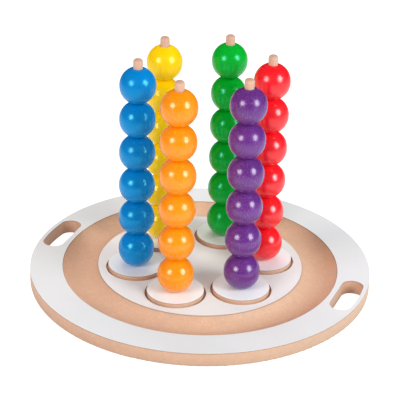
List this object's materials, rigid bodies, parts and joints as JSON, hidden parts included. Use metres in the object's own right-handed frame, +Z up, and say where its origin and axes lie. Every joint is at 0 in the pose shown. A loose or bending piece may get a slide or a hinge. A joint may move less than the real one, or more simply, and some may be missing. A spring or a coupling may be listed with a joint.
{
  "type": "ball stacking puzzle",
  "caption": "Round tray with a ball groove and hand slots, holding lift-out discs with pegs that stack bored balls in columns sorted by colour.",
  "frame": {"origin": "centre of the board's underside", "axes": "+Z up along the board's axis, +X from the centre through the middle of one hand slot"},
  "size_m": [0.386, 0.386, 0.2681],
  "materials": {
    "board_mdf": "bare fine MDF, matt",
    "disc_mdf": "bare fine MDF, matt",
    "white_facing": "white laminate, low sheen",
    "peg_beech": "bare beech dowel, fine sanded",
    "red_ball": "turned beech, stained and gloss lacquered",
    "green_ball": "turned beech, stained and gloss lacquered",
    "yellow_ball": "turned beech, stained and gloss lacquered",
    "blue_ball": "turned beech, stained and gloss lacquered",
    "orange_ball": "turned beech, stained and gloss lacquered",
    "purple_ball": "turned beech, stained and gloss lacquered"
  },
  "bodies": {
    "board": {"board_core": "board_mdf", "rim_facing": "white_facing", "centre_facing": "white_facing"},
    "red_tower": {"red_disc_core": "disc_mdf", "red_disc_facing": "white_facing", "red_peg": "peg_beech"},
    "red_ball_1": {"red_ball_1": "red_ball"},
    "red_ball_2": {"red_ball_2": "red_ball"},
    "red_ball_3": {"red_ball_3": "red_ball"},
    "red_ball_4": {"red_ball_4": "red_ball"},
    "red_ball_5": {"red_ball_5": "red_ball"},
    "red_ball_6": {"red_ball_6": "red_ball"},
    "green_tower": {"green_disc_core": "disc_mdf", "green_disc_facing": "white_facing", "green_peg": "peg_beech"},
    "green_ball_1": {"green_ball_1": "green_ball"},
    "green_ball_2": {"green_ball_2": "green_ball"},
    "green_ball_3": {"green_ball_3": "green_ball"},
    "green_ball_4": {"green_ball_4": "green_ball"},
    "green_ball_5": {"green_ball_5": "green_ball"},
    "green_ball_6": {"green_ball_6": "green_ball"},
    "yellow_tower": {"yellow_disc_core": "disc_mdf", "yellow_disc_facing": "white_facing", "yellow_peg": "peg_beech"},
    "yellow_ball_1": {"yellow_ball_1": "yellow_ball"},
    "yellow_ball_2": {"yellow_ball_2": "yellow_ball"},
    "yellow_ball_3": {"yellow_ball_3": "yellow_ball"},
    "yellow_ball_4": {"yellow_ball_4": "yellow_ball"},
    "yellow_ball_5": {"yellow_ball_5": "yellow_ball"},
    "yellow_ball_6": {"yellow_ball_6": "yellow_ball"},
    "blue_tower": {"blue_disc_core": "disc_mdf", "blue_disc_facing": "white_facing", "blue_peg": "peg_beech"},
    "blue_ball_1": {"blue_ball_1": "blue_ball"},
    "blue_ball_2": {"blue_ball_2": "blue_ball"},
    "blue_ball_3": {"blue_ball_3": "blue_ball"},
    "blue_ball_4": {"blue_ball_4": "blue_ball"},
    "blue_ball_5": {"blue_ball_5": "blue_ball"},
    "blue_ball_6": {"blue_ball_6": "blue_ball"},
    "orange_tower": {"orange_disc_core": "disc_mdf", "orange_disc_facing": "white_facing", "orange_peg": "peg_beech"},
    "orange_ball_1": {"orange_ball_1": "orange_ball"},
    "orange_ball_2": {"orange_ball_2": "orange_ball"},
    "orange_ball_3": {"orange_ball_3": "orange_ball"},
    "orange_ball_4": {"orange_ball_4": "orange_ball"},
    "orange_ball_5": {"orange_ball_5": "orange_ball"},
    "orange_ball_6": {"orange_ball_6": "orange_ball"},
    "purple_tower": {"purple_disc_core": "disc_mdf", "purple_disc_facing": "white_facing", "purple_peg": "peg_beech"},
    "purple_ball_1": {"purple_ball_1": "purple_ball"},
    "purple_ball_2": {"purple_ball_2": "purple_ball"},
    "purple_ball_3": {"purple_ball_3": "purple_ball"},
    "purple_ball_4": {"purple_ball_4": "purple_ball"},
    "purple_ball_5": {"purple_ball_5": "purple_ball"},
    "purple_ball_6": {"purple_ball_6": "purple_ball"}
  },
  "joints": [
    {"name": "red_tower_lift", "type": "slide", "parent": "board", "child": "red_tower", "axis": [0, 0, 1], "range_m": [0, 0.03]},
    {"name": "red_ball_1_lift", "type": "slide", "parent": "red_tower", "child": "red_ball_1", "axis": [0, 0, 1], "range_m": [0, 0.252]},
    {"name": "red_ball_2_lift", "type": "slide", "parent": "red_ball_1", "child": "red_ball_2", "axis": [0, 0, 1], "range_m": [0, 0.213]},
    {"name": "red_ball_3_lift", "type": "slide", "parent": "red_ball_2", "child": "red_ball_3", "axis": [0, 0, 1], "range_m": [0, 0.173]},
    {"name": "red_ball_4_lift", "type": "slide", "parent": "red_ball_3", "child": "red_ball_4", "axis": [0, 0, 1], "range_m": [0, 0.133]},
    {"name": "red_ball_5_lift", "type": "slide", "parent": "red_ball_4", "child": "red_ball_5", "axis": [0, 0, 1], "range_m": [0, 0.094]},
    {"name": "red_ball_6_lift", "type": "slide", "parent": "red_ball_5", "child": "red_ball_6", "axis": [0, 0, 1], "range_m": [0, 0.054]},
    {"name": "green_tower_lift", "type": "slide", "parent": "board", "child": "green_tower", "axis": [0, 0, 1], "range_m": [0, 0.03]},
    {"name": "green_ball_1_lift", "type": "slide", "parent": "green_tower", "child": "green_ball_1", "axis": [0, 0, 1], "range_m": [0, 0.252]},
    {"name": "green_ball_2_lift", "type": "slide", "parent": "green_ball_1", "child": "green_ball_2", "axis": [0, 0, 1], "range_m": [0, 0.213]},
    {"name": "green_ball_3_lift", "type": "slide", "parent": "green_ball_2", "child": "green_ball_3", "axis": [0, 0, 1], "range_m": [0, 0.173]},
    {"name": "green_ball_4_lift", "type": "slide", "parent": "green_ball_3", "child": "green_ball_4", "axis": [0, 0, 1], "range_m": [0, 0.133]},
    {"name": "green_ball_5_lift", "type": "slide", "parent": "green_ball_4", "child": "green_ball_5", "axis": [0, 0, 1], "range_m": [0, 0.094]},
    {"name": "green_ball_6_lift", "type": "slide", "parent": "green_ball_5", "child": "green_ball_6", "axis": [0, 0, 1], "range_m": [0, 0.054]},
    {"name": "yellow_tower_lift", "type": "slide", "parent": "board", "child": "yellow_tower", "axis": [0, 0, 1], "range_m": [0, 0.03]},
    {"name": "yellow_ball_1_lift", "type": "slide", "parent": "yellow_tower", "child": "yellow_ball_1", "axis": [0, 0, 1], "range_m": [0, 0.252]},
    {"name": "yellow_ball_2_lift", "type": "slide", "parent": "yellow_ball_1", "child": "yellow_ball_2", "axis": [0, 0, 1], "range_m": [0, 0.213]},
    {"name": "yellow_ball_3_lift", "type": "slide", "parent": "yellow_ball_2", "child": "yellow_ball_3", "axis": [0, 0, 1], "range_m": [0, 0.173]},
    {"name": "yellow_ball_4_lift", "type": "slide", "parent": "yellow_ball_3", "child": "yellow_ball_4", "axis": [0, 0, 1], "range_m": [0, 0.133]},
    {"name": "yellow_ball_5_lift", "type": "slide", "parent": "yellow_ball_4", "child": "yellow_ball_5", "axis": [0, 0, 1], "range_m": [0, 0.094]},
    {"name": "yellow_ball_6_lift", "type": "slide", "parent": "yellow_ball_5", "child": "yellow_ball_6", "axis": [0, 0, 1], "range_m": [0, 0.054]},
    {"name": "blue_tower_lift", "type": "slide", "parent": "board", "child": "blue_tower", "axis": [0, 0, 1], "range_m": [0, 0.03]},
    {"name": "blue_ball_1_lift", "type": "slide", "parent": "blue_tower", "child": "blue_ball_1", "axis": [0, 0, 1], "range_m": [0, 0.252]},
    {"name": "blue_ball_2_lift", "type": "slide", "parent": "blue_ball_1", "child": "blue_ball_2", "axis": [0, 0, 1], "range_m": [0, 0.213]},
    {"name": "blue_ball_3_lift", "type": "slide", "parent": "blue_ball_2", "child": "blue_ball_3", "axis": [0, 0, 1], "range_m": [0, 0.173]},
    {"name": "blue_ball_4_lift", "type": "slide", "parent": "blue_ball_3", "child": "blue_ball_4", "axis": [0, 0, 1], "range_m": [0, 0.133]},
    {"name": "blue_ball_5_lift", "type": "slide", "parent": "blue_ball_4", "child": "blue_ball_5", "axis": [0, 0, 1], "range_m": [0, 0.094]},
    {"name": "blue_ball_6_lift", "type": "slide", "parent": "blue_ball_5", "child": "blue_ball_6", "axis": [0, 0, 1], "range_m": [0, 0.054]},
    {"name": "orange_tower_lift", "type": "slide", "parent": "board", "child": "orange_tower", "axis": [0, 0, 1], "range_m": [0, 0.03]},
    {"name": "orange_ball_1_lift", "type": "slide", "parent": "orange_tower", "child": "orange_ball_1", "axis": [0, 0, 1], "range_m": [0, 0.252]},
    {"name": "orange_ball_2_lift", "type": "slide", "parent": "orange_ball_1", "child": "orange_ball_2", "axis": [0, 0, 1], "range_m": [0, 0.213]},
    {"name": "orange_ball_3_lift", "type": "slide", "parent": "orange_ball_2", "child": "orange_ball_3", "axis": [0, 0, 1], "range_m": [0, 0.173]},
    {"name": "orange_ball_4_lift", "type": "slide", "parent": "orange_ball_3", "child": "orange_ball_4", "axis": [0, 0, 1], "range_m": [0, 0.133]},
    {"name": "orange_ball_5_lift", "type": "slide", "parent": "orange_ball_4", "child": "orange_ball_5", "axis": [0, 0, 1], "range_m": [0, 0.094]},
    {"name": "orange_ball_6_lift", "type": "slide", "parent": "orange_ball_5", "child": "orange_ball_6", "axis": [0, 0, 1], "range_m": [0, 0.054]},
    {"name": "purple_tower_lift", "type": "slide", "parent": "board", "child": "purple_tower", "axis": [0, 0, 1], "range_m": [0, 0.03]},
    {"name": "purple_ball_1_lift", "type": "slide", "parent": "purple_tower", "child": "purple_ball_1", "axis": [0, 0, 1], "range_m": [0, 0.252]},
    {"name": "purple_ball_2_lift", "type": "slide", "parent": "purple_ball_1", "child": "purple_ball_2", "axis": [0, 0, 1], "range_m": [0, 0.213]},
    {"name": "purple_ball_3_lift", "type": "slide", "parent": "purple_ball_2", "child": "purple_ball_3", "axis": [0, 0, 1], "range_m": [0, 0.173]},
    {"name": "purple_ball_4_lift", "type": "slide", "parent": "purple_ball_3", "child": "purple_ball_4", "axis": [0, 0, 1], "range_m": [0, 0.133]},
    {"name": "purple_ball_5_lift", "type": "slide", "parent": "purple_ball_4", "child": "purple_ball_5", "axis": [0, 0, 1], "range_m": [0, 0.094]},
    {"name": "purple_ball_6_lift", "type": "slide", "parent": "purple_ball_5", "child": "purple_ball_6", "axis": [0, 0, 1], "range_m": [0, 0.054]}
  ]
}
